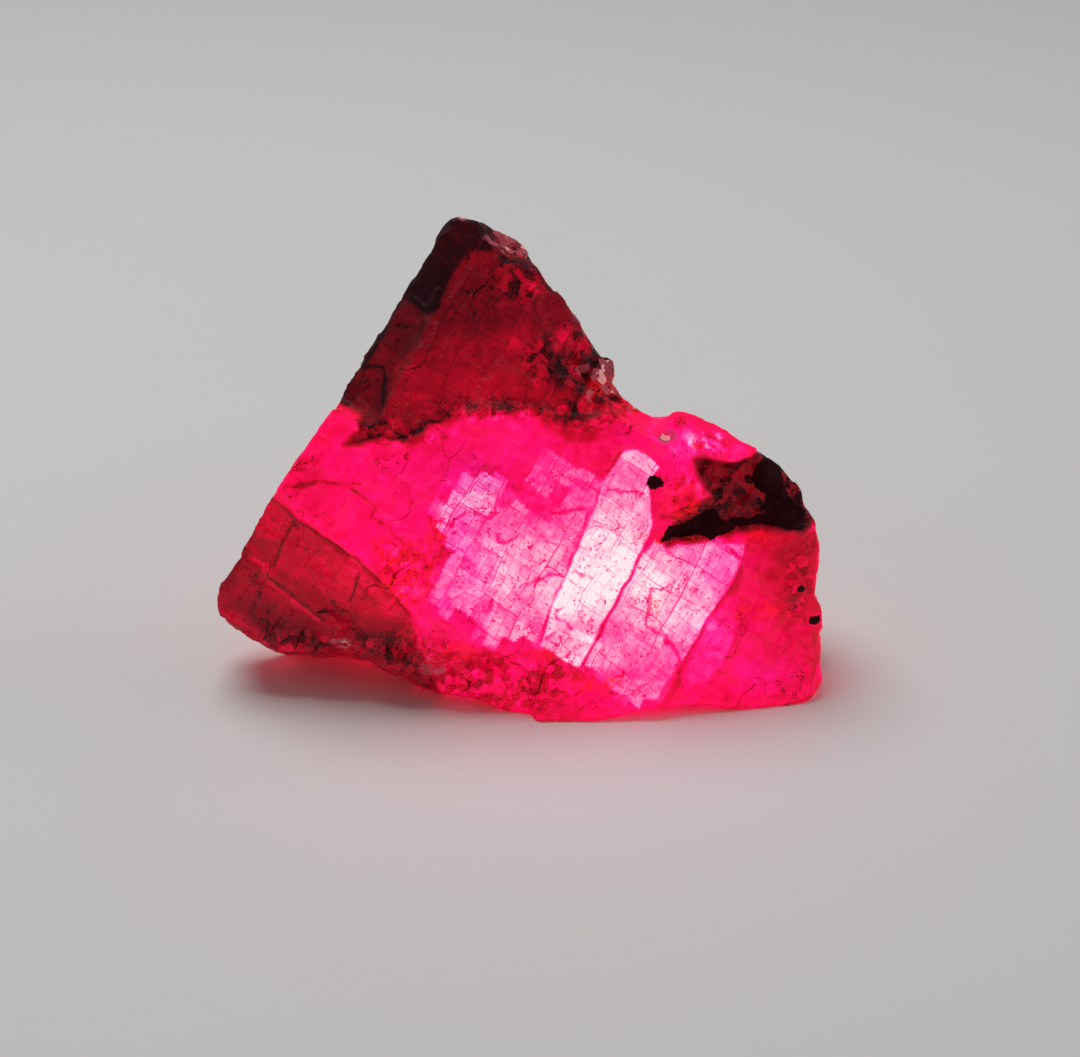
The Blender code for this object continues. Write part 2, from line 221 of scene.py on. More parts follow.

# Spots as middle and reach in x and z, with how much lighter or darker the stone is there
# The light spots round the middle widen the painted glow from behind, and the small strong ones round the
# upper break are painted glints
TONE_AND_GLINT_SPOTS = [
    ((3.2, 6.0), (1.2, 1.6), 0.12), ((4.7, 5.7), (0.8, 1.0), 0.1), ((1.5, 4.9), (1.1, 1.3), 0.12),
    ((-0.8, 5.6), (1.3, 1.6), 0.06), ((3.5, 2.8), (0.8, 0.7), 0.07), ((5.8, 2.4), (1.0, 1.0), -0.06),
    ((4.2, 9.4), (1.0, 1.2), -0.07), ((1.8, 2.5), (0.9, 0.6), -0.12), ((1.0, 7.0), (0.8, 0.6), 0.06),
    ((7.2, 4.2), (0.5, 0.9), 0.06), ((11.0, 5.8), (1.5, 2.0), -0.15), ((11.6, 2.2), (0.8, 1.6), -0.08),
    ((10.8, 7.0), (1.6, 0.7), -0.06), ((8.4, 2.0), (1.6, 1.2), 0.04), ((-8.6, 10.0), (1.6, 2.6), -0.05),
    ((-0.6, 11.2), (2.4, 0.9), 0.03), ((-2.6, 9.4), (0.7, 0.5), 0.08), ((6.4, 11.2), (1.2, 0.8), 0.06),
    ((7.6, 11.0), (0.7, 0.4), 0.1), ((8.4, 10.5), (0.3, 0.2), 0.14), ((6.5, 11.3), (0.2, 0.25), 0.12),
    ((6.3, 8.7), (0.6, 0.5), -0.1), ((7.9, 9.5), (0.9, 0.4), 0.08), ((1.7, 15.0), (0.35, 0.25), 0.25),
    ((2.25, 14.55), (0.35, 0.22), 0.3), ((1.3, 14.6), (0.3, 0.2), 0.2), ((2.4, 13.65), (0.28, 0.18), 0.35),
    ((0.75, 16.6), (0.22, 0.32), 0.24), ((0.6, 17.0), (0.15, 0.12), 0.2), ((2.7, 12.75), (0.14, 0.22), 0.4),
    ((1.7, 12.6), (0.6, 0.5), 0.1), ((-0.3, 14.6), (0.4, 0.7), 0.07), ((-1.0, 13.1), (1.6, 0.5), 0.06),
    ((0.9, 17.2), (0.9, 0.7), 0.03), ((3.3, 12.3), (0.6, 0.3), 0.1), ((-5.9, 3.3), (0.5, 0.25), -0.1),
    ((-4.9, 2.9), (0.4, 0.3), -0.08), ((-9.2, 3.3), (0.7, 0.4), -0.06), ((-2.6, 2.3), (1.0, 0.6), -0.06),
    ((0.3, 1.2), (0.5, 0.5), -0.08), ((-7.0, 5.4), (1.4, 0.9), 0.03), ((1.3, 13.85), (0.4, 0.25), -0.08),
    ((0.7, 13.5), (0.45, 0.14), -0.08), ((0.2, 14.2), (0.4, 0.12), -0.08), ((2.9, 13.2), (0.5, 0.25), -0.06),
    ((2.1, 12.4), (0.12, 0.5), -0.1), ((2.9, 14.3), (0.3, 0.4), -0.06), ((-0.9, 15.4), (0.5, 0.3), -0.04),
    ((-0.8, 6.6), (1.0, 0.8), 0.07), ((-0.7, 3.7), (0.8, 0.5), 0.08), ((3.9, 8.6), (0.7, 0.8), 0.05),
    ((7.6, 9.6), (0.9, 0.4), 0.12), ((6.7, 11.8), (1.2, 0.4), -0.03), ((-3.4, 16.9), (0.7, 0.8), -0.1),
    ((5.3, 5.0), (1.0, 1.4), 0.11), ((8.0, 6.3), (0.8, 0.9), -0.06), ((-2.9, 10.3), (1.2, 0.7), -0.04),
    ((1.7, 3.4), (0.9, 0.6), -0.07), ((3.6, 1.9), (0.8, 0.5), -0.1), ((10.4, 6.4), (1.2, 0.8), -0.05),
    ((6.1, 8.3), (0.7, 0.8), -0.08), ((-1.8, 2.6), (0.9, 0.4), -0.05), ((1.0, 1.4), (1.2, 0.7), 0.04),
    ((1.3, 15.4), (1.2, 1.3), 0.04), ((-0.5, 13.4), (1.8, 0.8), 0.01), ((-3.9, 2.9), (0.5, 0.4), 0.06),
]
MATRIX_SPOTS = [((5.2, 9.45), (0.42, 0.30)), ((11.55, 3.7), (0.30, 0.20)), ((11.0, 5.0), (0.20, 0.18))]
# Frosted spots, with how bright their facets are: the strength widens the frost and gives more of its facets
# painted glints
FROSTED = [
    ((-0.4, 18.7), (0.9, 0.6), 0.8), ((0.3, 18.3), (0.7, 0.35), 0.95), ((3.35, 13.4), (0.42, 0.5), 2.2),
    ((3.7, 12.9), (0.35, 0.25), 2.0), ((4.55, 12.15), (0.45, 0.26), 1.6), ((5.7, 11.3), (0.3, 0.22), 1.3),
    ((-3.5, 1.9), (0.9, 0.6), 0.62), ((-6.9, 2.9), (0.6, 0.3), 0.62), ((2.45, 13.65), (0.22, 0.15), 1.4),
    ((2.7, 12.75), (0.12, 0.2), 1.4), ((-2.2, 19.6), (0.5, 0.25), 0.7),
]
# Fractured ground, where small angular pieces differ in tone and dark veins part them
FRACTURED = [
    ((1.7, 14.0), (1.7, 1.2)), ((-4.4, 11.4), (2.0, 0.55)), ((2.6, 12.1), (1.8, 0.7)),
    ((-0.6, 1.5), (3.0, 1.1)), ((-4.8, 2.8), (1.8, 0.7)), ((6.3, 8.7), (0.9, 1.0)),
    ((4.3, 12.3), (1.1, 0.6)), ((0.2, 17.4), (1.2, 1.0)), ((7.8, 9.2), (1.4, 0.9)),
    ((10.2, 9.0), (1.2, 1.2)), ((1.7, 2.2), (1.2, 0.6)), ((-4.4, 6.0), (1.1, 1.4)),
    ((7.2, 10.9), (0.8, 0.5)), ((-1.0, 12.2), (2.6, 0.35)), ((-8.8, 2.9), (1.5, 0.5)),
    ((10.9, 5.3), (0.5, 1.3)),
]
# Spots where the red leans to violet
VIOLET = [
    ((-1.8, 9.9), (1.8, 1.0)), ((7.0, 10.9), (1.5, 0.7)), ((7.8, 6.0), (1.1, 1.2)), ((7.2, 2.8), (1.1, 1.6)),
    ((-2.3, 6.4), (1.3, 2.2)), ((1.6, 16.4), (1.4, 1.6)), ((1.8, 14.5), (0.9, 0.7)),
    ((3.4, 11.2), (1.6, 0.5)), ((9.4, 1.6), (1.4, 1.0)),
]
STAINED = [
    ((-4.3, 6.0), (1.2, 1.5)), ((-5.3, 6.9), (0.5, 0.7)), ((-3.2, 7.4), (0.5, 1.0)),
    ((6.2, 8.8), (0.9, 0.8)), ((-2.4, 2.8), (0.7, 0.4)), ((6.3, 7.3), (2.0, 0.3)), ((9.2, 4.2), (1.2, 0.4)),
    ((3.0, 1.6), (1.2, 0.4)), ((9.0, 7.1), (1.0, 0.2)), ((6.9, 10.9), (0.3, 0.5)), ((5.1, 4.5), (0.3, 0.6)),
    ((0.9, 2.7), (0.6, 0.4)), ((3.4, 13.0), (0.8, 0.4)), ((4.6, 12.0), (0.8, 0.3)),
]
# Cracks that stand out, as routes in x and z: clean ones along the partings, and ragged ones
CLEAN_CRACKS = [
    [(4.6, 6.7), (4.2, 5.7), (3.7, 4.8), (3.2, 3.9), (2.9, 3.1), (2.3, 2.1)],
    [(3.9, 10.6), (3.1, 9.3), (2.9, 8.6), (2.2, 6.9), (1.75, 5.8), (1.2, 4.6), (0.8, 3.2)],
    [(8.75, 6.9), (8.55, 6.0), (8.0, 5.0), (7.3, 4.1), (6.9, 3.2), (6.15, 2.1), (5.4, 0.9)],
    [(-5.2, 15.4), (-5.6, 14.6), (-6.1, 13.7), (-5.3, 13.75), (-5.2, 13.2), (-5.3, 12.4)],
    [(-8.6, 8.0), (-9.1, 7.2), (-9.6, 6.0)],
    [(-9.9, 6.0), (-9.8, 5.5), (-8.8, 4.8), (-7.7, 3.9)],
    [(-9.7, 8.9), (-8.6, 8.0), (-7.0, 7.0), (-6.0, 6.2), (-4.9, 5.2), (-4.3, 4.3)],
    [(-6.2, 5.9), (-6.6, 4.7)],
    [(1.0, 3.3), (1.4, 3.6)],
    [(8.0, 6.9), (8.6, 6.4)],
]
RAGGED_CRACKS = [
    [(0.0, 5.35), (0.5, 5.65), (1.2, 5.85), (1.7, 5.87)],
    [(2.1, 5.95), (2.4, 5.8), (2.8, 5.7)],
    [(1.7, 4.6), (1.4, 4.4), (1.5, 4.15), (2.1, 3.7)],
    [(5.1, 5.3), (5.0, 4.6), (4.9, 3.95), (5.5, 3.4), (6.05, 3.0), (6.2, 2.4), (6.1, 1.9)],
    [(3.3, 9.2), (4.0, 9.1), (4.8, 9.0)],
    [(1.2, 8.25), (1.8, 8.35), (2.5, 8.5)],
    [(-1.3, 4.4), (-1.0, 4.8)],
    [(-9.0, 9.3), (-7.6, 9.5), (-6.1, 9.4)],
    [(-6.4, 9.2), (-6.0, 8.9), (-5.6, 8.5), (-5.7, 8.1), (-5.0, 7.8), (-4.9, 7.4)],
    [(-5.6, 7.2), (-5.3, 6.6), (-4.9, 6.4)],
    [(-3.5, 8.2), (-3.2, 7.4), (-2.9, 6.9), (-3.3, 6.4)],
    [(2.4, 13.1), (2.15, 12.6), (2.0, 11.9)],
    [(3.0, 12.9), (3.6, 12.5), (4.1, 12.1)],
    [(-3.0, 11.9), (-4.0, 11.5), (-4.6, 11.1), (-5.2, 11.3), (-6.1, 11.1)],
    [(-3.1, 8.0), (-2.6, 7.8), (-2.1, 8.3)],
    [(-2.9, 7.2), (-3.1, 6.6), (-2.4, 6.8)],
    [(-0.9, 7.4), (-0.5, 7.1), (-0.1, 7.4)],
    [(-1.6, 8.3), (-1.1, 8.1), (-0.9, 8.5)],
]
CRACK_WIDTH = 0.09
# How far zone edges and ragged cracks are led astray, and how many times in a millimetre
EDGE_WANDER = (0.09, 1.6)
CRACK_WANDER = (0.16, 3.2)
# Painted highlights: lighter lines along steps and rims, as a route in x and z, the width, and how much
# lighter
PAINTED_HIGHLIGHTS = [
    ([(-10.4, 6.25), (-9.95, 6.05), (-9.8, 5.4), (-8.8, 4.65), (-7.9, 3.9)], 0.12, 0.12),
    ([(7.0, 11.35), (7.5, 11.25), (8.0, 10.9)], 0.08, 0.12),
    ([(7.0, 11.1), (7.4, 11.0), (7.9, 10.6)], 0.08, 0.12),
    ([(7.1, 10.85), (7.6, 10.5)], 0.08, 0.12),
    ([(8.25, 3.2), (7.8, 2.1)], 0.08, 0.06),
    ([(-3.0, 12.1), (-3.6, 12.6), (-4.3, 12.9)], 0.15, 0.06),
    ([(1.5, 11.6), (2.2, 11.5), (3.2, 11.9)], 0.1, 0.06),
    ([(4.9, 11.3), (5.5, 11.1), (5.9, 10.7)], 0.1, 0.1),
    ([(-0.8, 16.2), (0.1, 16.4), (0.8, 15.8)], 0.12, 0.05),
    ([(2.4, 16.1), (1.6, 17.1), (0.9, 17.9)], 0.14, 0.1),
    ([(-12.0, 4.7), (-11.9, 5.2), (-10.7, 7.3), (-8.9, 10.0), (-7.2, 12.3)], 0.16, 0.08),
    ([(-11.9, 5.0), (-11.8, 4.2), (-11.3, 3.8), (-9.9, 2.9), (-9.0, 2.6)], 0.18, 0.06),
    ([(-6.9, 12.8), (-6.8, 13.2), (-4.9, 16.3)], 0.14, 0.16),
    ([(11.4, 0.9), (11.9, 1.6), (11.95, 4.2)], 0.2, 0.05),
    ([(11.65, 5.2), (11.75, 6.9), (11.3, 8.2), (11.15, 9.0), (10.3, 10.2)], 0.14, 0.16),
]

PAINTED_HIGHLIGHT_CORE = 1.3

# Broken ground, as middle, reach and depth of relief
BROKEN = [
    ((-2.5, 1.2, 1.6), 3.0, 0.12), ((-7.5, 1.5, 2.6), 2.0, 0.1), ((3.2, 2.0, 13.8), 2.2, 0.14),
    ((0.2, 2.6, 18.4), 1.8, 0.12), ((9.0, 1.4, 8.8), 2.3, 0.12), ((-4.4, 0.8, 11.6), 1.5, 0.1),
    ((0.0, 0.5, 12.4), 0.9, 0.07), ((2.6, 0.5, 12.0), 1.2, 0.08), ((-6.0, 7.6, 7.4), 3.0, 0.14),
    ((5.0, 7.0, 10.6), 2.6, 0.14),
]
# The thin rim at the pocket's right end is worn down: its middle, the reach, and how far its middle moves
WORN_RIM = (Vector((11.16, 1.75, 8.52)), 0.5, Vector((-0.05, 0.1, -0.36)))
# The sides stay clean this far back from the front's edge
CLEAN_EDGE = 1.4
# Where the front's zones give way to the back's blocks of tone, and where frost and matrix end
FRONT_DEPTH = (3.4, 5.0)
CRUST_DEPTH = (4.0, 5.2)
# How deep the step edges of the front lie, how steep they are, and how much painted shade darkens them below
# its faces
EDGE_DEPTH = (1.6, 2.6)
STEEP_FROM = 0.70
STEEP_BLEND = 0.22
EDGE_SHADE = 0.05


def color_setting(name, description, default):
    return FloatVectorProperty(
        name=name, description=description, default=default, subtype="COLOR", min=0.0, max=1.0
    )


class RubySettings(bpy.types.PropertyGroup):
    side_relief: FloatProperty(
        name="Side Relief",
        description="Depth of the broken texture on the stone's sides",
        default=0.05 * MM,
        subtype="DISTANCE",
        unit="LENGTH",
    )
    block_step: FloatProperty(
        name="Block Step",
        description="Height between neighbouring blocks on the flat faces",
        default=0.035 * MM,
        subtype="DISTANCE",
        unit="LENGTH",
    )
    # Painted glow: its strength sets the emission that stands for light from behind shining through the
    # stone, and in part for the ruby's own red fluorescence
    glow: FloatProperty(
        name="Glow", description="Strength of the stone's own red glow", default=0.8, min=0.0, max=4.0
    )
    matrix_color: color_setting(
        "Matrix", "Colour of the dark matrix in the pocket", (0.0012, 0.0004, 0.0004)
    )
    rust_color: color_setting(
        "Rust", "Colour of the rusty red ground within the matrix", (0.130, 0.003, 0.007)
    )
    stain_color: color_setting("Stain", "Colour of the iron stain along the cracks", (0.90, 0.006, 0.012))
    frost_color: color_setting("Frosted Breaks", "Colour of the sugary broken patches", (0.36, 0.10, 0.13))
    # Painted glints: a pale colour given to the brightest facets in place of the light they catch
    glint_color: color_setting(
        "Frosted Glints", "Colour of the brightest facets in the broken patches", (0.90, 0.52, 0.48)
    )


class StageSettings(bpy.types.PropertyGroup):
    floor_color: color_setting("Floor", "Colour of the plain floor", (0.86, 0.85, 0.84))
    key_power: FloatProperty(
        name="Key Light", description="Power of the large soft light overhead", default=0.22, unit="POWER"
    )
    side_power: FloatProperty(
        name="Side Light", description="Power of the soft light beside the stone", default=0.05, unit="POWER"
    )


def clamp(value):
    return min(1.0, max(0.0, value))


def hashed(a, b=0, c=0):
    """A steady number from 0 to 1 for a set of whole numbers."""
    return noise.cell(Vector((a + 0.5, b + 0.5, c + 0.5)))


def bake(obj):
    """Makes what the modifiers show the object's own mesh, and drops them."""
    graph = bpy.context.evaluated_depsgraph_get()
    baked = bpy.data.meshes.new_from_object(obj.evaluated_get(graph))
    obj.modifiers.clear()
    obj.data = baked


def reshape(obj, change):
    shape = bmesh.new()
    shape.from_mesh(obj.data)
    change(shape)
    shape.to_mesh(obj.data)
    shape.free()


def into_stone_frame(shape):
    """Merges the copied triangles, and sets the shape upright in millimetres."""
    bmesh.ops.remove_doubles(shape, verts=shape.verts, dist=MERGE_DISTANCE)
    bmesh.ops.transform(shape, matrix=WORLD_TO_STONE, verts=shape.verts)


def refine_front(shape):
    """Halves the grain on the flat front, where the fine steps show."""
    shape.normal_update()
    front = [face for face in shape.faces if face.normal.y < -FRONT_FACING]
    edges = list({edge.index: edge for face in front for edge in face.edges}.values())
    edges.sort(key=lambda edge: edge.index)
    bmesh.ops.subdivide_edges(shape, edges=edges, cuts=1, use_grid_fill=True)
    bmesh.ops.triangulate(shape, faces=[face for face in shape.faces if len(face.verts) > 4])


def over_floor(point):
    """The point's height over the floor, once the stone leans back."""
    lean = math.radians(LEAN_DEG)
    return point.z * math.cos(lean) - point.y * math.sin(lean)


def brokenness(point):
    """How rough the stone is here, in millimetres, from the broken zones."""
    rough = 0.0
    for middle, reach, relief in BROKEN:
        away = (point - Vector(middle)).length / reach
        if away < 1.0:
            rough = max(rough, relief * (1.0 - away * away))
    return rough


def step_at(point):
    """How far the point's block of the parting lattice stands in or out, as a share of one step."""
    wave = STEP_WAVE * noise.noise(point * STEP_WAVES_PER_MM)
    across = point.dot(ACROSS_LAMELLAE) + wave
    along = point.dot(ACROSS_CROSS) + wave
    band = math.floor(across / STEP_BAND + 0.6 * noise.noise((across * 0.4, 3.0, 0.0)))
    block = math.floor((along + 5.0 * hashed(band, SHIFT_SEED)) / STEP_BLOCK)
    return (hashed(band, BAND_SEED) - 0.5) + 1.2 * (hashed(band, block, BLOCK_SEED) - 0.5)


def relief_at(point, normal, side_relief, block_step):
    """How far the surface stands out here, in millimetres."""
    flat = clamp((abs(normal.y) - FLAT_FROM) / FLAT_BLEND)
    off_edge = 0.1 + 0.9 * clamp(point.y / CLEAN_EDGE)
    rough = max(brokenness(point), side_relief * (1.0 - flat) * off_edge)
    steps = block_step * step_at(point)
    lumps = rough * noise.fractal(point * LUMPS_PER_MM, LUMP_ROUGHNESS, LUMP_LACUNARITY, LUMP_OCTAVES)
    shard = cell_at(point, SHARD_SIZE, 0.25 * noise.noise(point * 0.9))
    shards = SHARD_SHARE * rough * (shard - 0.5)
    return steps * flat + lumps + shards


def cell_at(point, sizes, wander):
    """A steady number from 0 to 1 for the cell along the partings that a point lies in."""
    along_axes = (point.dot(ACROSS_LAMELLAE), point.y, point.dot(ACROSS_CROSS))
    return hashed(*[math.floor(place / size + wander) for place, size in zip(along_axes, sizes)])


def worn(point):
    """How far a point of the pocket's thin rim is worn away."""
    middle, reach, move = WORN_RIM
    away = (point - middle).length / reach
    return move * max(0.0, 1.0 - away * away)


def weather(shape, settings):
    """Moves each point along its normal by the relief, and leaves the resting face as it is."""
    shape.normal_update()
    side_relief = settings.side_relief / MM
    block_step = settings.block_step / MM
    moves = []
    for vert in shape.verts:
        quiet = clamp(over_floor(vert.co) / QUIET_HEIGHT)
        relief = relief_at(vert.co, vert.normal, side_relief, block_step)
        moves.append(vert.normal * quiet * relief + worn(vert.co))
    for vert, move in zip(shape.verts, moves):
        vert.co += move


def crease(shape, degrees):
    """Smooth shading, with the steps left crisp."""
    limit = math.radians(degrees)
    for face in shape.faces:
        face.smooth = True
    for edge in shape.edges:
        edge.smooth = edge.calc_face_angle(0.0) < limit


def edge_distance(outline, x, z):
    """Distance to an outline, negative inside it, for arrays of points."""
    closed = outline + outline[:1]
    nearest = route_distance(closed, x, z)
    inside = np.zeros(len(x), dtype=bool)
    for (x0, z0), (x1, z1) in zip(closed, closed[1:]):
        crosses = (z0 > z) != (z1 > z)
        if z1 != z0:
            inside ^= crosses & (x < x0 + (z - z0) * (x1 - x0) / (z1 - z0))
    return np.where(inside, -nearest, nearest)


def within(outline, x, z, soft):
    """1 inside an outline and 0 outside it, with an edge this soft."""
    return np.clip(0.5 - edge_distance(outline, x, z) / soft, 0.0, 1.0)


def spot(middle, reach, x, z):
    """1 at a spot's middle, and next to 0 past its reach."""
    return np.exp(-(((x - middle[0]) / reach[0]) ** 2) - ((z - middle[1]) / reach[1]) ** 2)


def blend(low, high, mask):
    return low + (high - low) * mask


def strongest(masks):
    return np.max(np.array(masks), axis=0)


def route_distance(route, x, z):
    """Distance to an open route of straight runs."""
    nearest = np.full(len(x), FAR_AWAY)
    for (x0, z0), (x1, z1) in zip(route, route[1:]):
        dx, dz = x1 - x0, z1 - z0
        t = np.clip(((x - x0) * dx + (z - z0) * dz) / (dx * dx + dz * dz), 0.0, 1.0)
        nearest = np.minimum(nearest, np.hypot(x - x0 - t * dx, z - z0 - t * dz))
    return nearest


def near_route(route, width, x, z, core=1.0):
    """1 on a route, and 0 at its width or past it. A core over 1 widens the full part."""
    return np.clip(core - route_distance(route, x, z) / width, 0.0, 1.0)


def wandered(points, reach, per_mm):
    """The points' x and z, led astray this far, so that no zone's edge or crack is ruled."""
    apart = Vector((9.0, 4.0, 7.0))
    places = [Vector(point) * per_mm for point in points]
    shifts = np.array([(noise.noise(place), noise.noise(place + apart)) for place in places])
    return points[:, 0] + reach * shifts[:, 0], points[:, 2] + reach * shifts[:, 1]


def stepped(x, z, share):
    """The points moved by a share of the way to the middle of their block in the lattice."""
    to_lattice = np.array([[ACROSS_LAMELLAE.x, ACROSS_LAMELLAE.z], [ACROSS_CROSS.x, ACROSS_CROSS.z]])
    across, along = to_lattice @ np.array([x, z])
    bands = np.floor(across / BLOCK_WIDTH)
    shifts = {band: hashed(band, SHIFT_SEED) for band in set(bands)}
    shift = np.array([shifts[band] for band in bands])
    rows = np.floor(along / BLOCK_LENGTH + shift)
    middles = np.array([(bands + 0.5) * BLOCK_WIDTH, (rows + 0.5 - shift) * BLOCK_LENGTH])
    middle_x, middle_z = np.linalg.inv(to_lattice) @ middles
    return blend(x, middle_x, share), blend(z, middle_z, share)


def fading(y, depths):
    """1 in front of the first depth, and 0 behind the second."""
    near, far = depths
    return 1.0 - np.clip((y - near) / (far - near), 0.0, 1.0)


def block_tone(point):
    """The tone of the back here: a steady one for each large block, with clouds over it."""
    block = cell_at(point, BACK_BLOCK_SIZE, 0.3 * noise.noise(point * 0.5))
    return 0.4 * (block - 0.5) + 0.9 * noise.noise(point * 0.25) + 0.4 * noise.noise(point * 0.8)


def front_tone(x, z):
    """The tone of the front face's zones, spots and painted highlight lines, partly the stone's own colour
    and partly painted light and shade.
    """
    tone = np.full(len(x), BODY_TONE)
    step_x, step_z = stepped(x, z, 0.85)
    for outline, zone_tone, soft in STEPPED_ZONES:
        tone = blend(tone, zone_tone, within(outline, step_x, step_z, soft))
    for outline, zone_tone, soft in ZONE_TONES:
        tone = blend(tone, zone_tone, within(outline, x, z, soft))
    step_x, step_z = stepped(x, z, 0.4)
    for middle, reach, change in TONE_AND_GLINT_SPOTS:
        tone = tone + change * spot(middle, reach, step_x, step_z)
    for route, width, change in PAINTED_HIGHLIGHTS:
        tone = tone + change * near_route(route, width, x, z, PAINTED_HIGHLIGHT_CORE)
    return tone


def strongest_spot(places, x, z):
    return strongest([spot(*place, x, z) for place in places])


def strongest_zone(outlines, x, z, soft):
    return strongest([within(outline, x, z, soft) for outline in outlines])


def crack_lines(points, x, z):
    """The main cracks: clean ones, and ragged ones whose course and strength waver."""
    reach = CRACK_WANDER[0]
    jagged_x, jagged_z = wandered(points, *CRACK_WANDER)
    clean = [near_route(route, CRACK_WIDTH, x, z) for route in CLEAN_CRACKS]
    ragged = [near_route(route, CRACK_WIDTH, jagged_x, jagged_z) for route in RAGGED_CRACKS]
    waver = np.clip(2.0 * (jagged_x - points[:, 0]) / reach, -1.0, 1.0)
    return strongest(clean + ragged) * (0.75 + 0.25 * waver)


def matrix_cover(x, z):
    """The dark matrix: its patch in the pocket, and the small spots."""
    spots = [np.clip(2.2 * spot(*place, x, z) - 0.6, 0.0, 1.0) for place in MATRIX_SPOTS]
    return strongest([within(MATRIX, x, z, 0.25)] + spots)


def lattice_strength(x, z, in_front):
    """How strongly the lattice of partings shows."""
    strong = strongest_zone(LATTICE_ZONES, x, z, LATTICE_SOFT)
    faint = strongest_zone(FAINT_LATTICE_ZONES, x, z, LATTICE_SOFT)
    return blend(blend(FAINT_LATTICE, MIDDLE_LATTICE, faint), 1.0, strong * in_front)


def point_values(mesh, kind):
    values = np.empty(len(mesh.vertices) * 3)
    mesh.vertices.foreach_get(kind, values)
    return values.reshape(-1, 3)


def paint_zones(mesh):
    """Writes the stone's zones as attributes of its points, most of them from 0 to 1."""
    points = point_values(mesh, "co")
    normals = point_values(mesh, "normal")
    y = points[:, 1]
    x, z = wandered(points, *EDGE_WANDER)
    in_front = fading(y, FRONT_DEPTH)
    crust = fading(y, CRUST_DEPTH)
    back = BACK_TONE + BACK_CHANGE * np.array([block_tone(Vector(point)) for point in points])
    steep = 1.0 - np.clip((np.abs(normals[:, 1]) - STEEP_FROM) / STEEP_BLEND, 0.0, 1.0)
    edges = steep * fading(y, EDGE_DEPTH)
    frost = strongest([bright * spot(middle, reach, x, z) for middle, reach, bright in FROSTED])
    zones = {
        # The tone holds painted glow and shade from light behind the stone, and painted shade on the step
        # edges, beside the stone's own colour
        "tone": blend(back, front_tone(x, z), in_front) - EDGE_SHADE * edges,
        "edges": edges,
        "lattice": lattice_strength(x, z, in_front),
        "cracks": crack_lines(points, x, z) * in_front,
        "matrix": matrix_cover(x, z) * crust,
        "rust": within(RUSTY, x, z, 0.3) * crust,
        "frost": frost * crust,
        "fractured": strongest_spot(FRACTURED, x, z) * in_front,
        "violet": strongest_spot(VIOLET, x, z) * in_front,
        "stain": strongest_spot(STAINED, x, z) * in_front,
    }
    for name, values in zones.items():
        attribute = mesh.attributes.new(name, "FLOAT", "POINT")
        attribute.data.foreach_set("value", values.astype(np.float32))


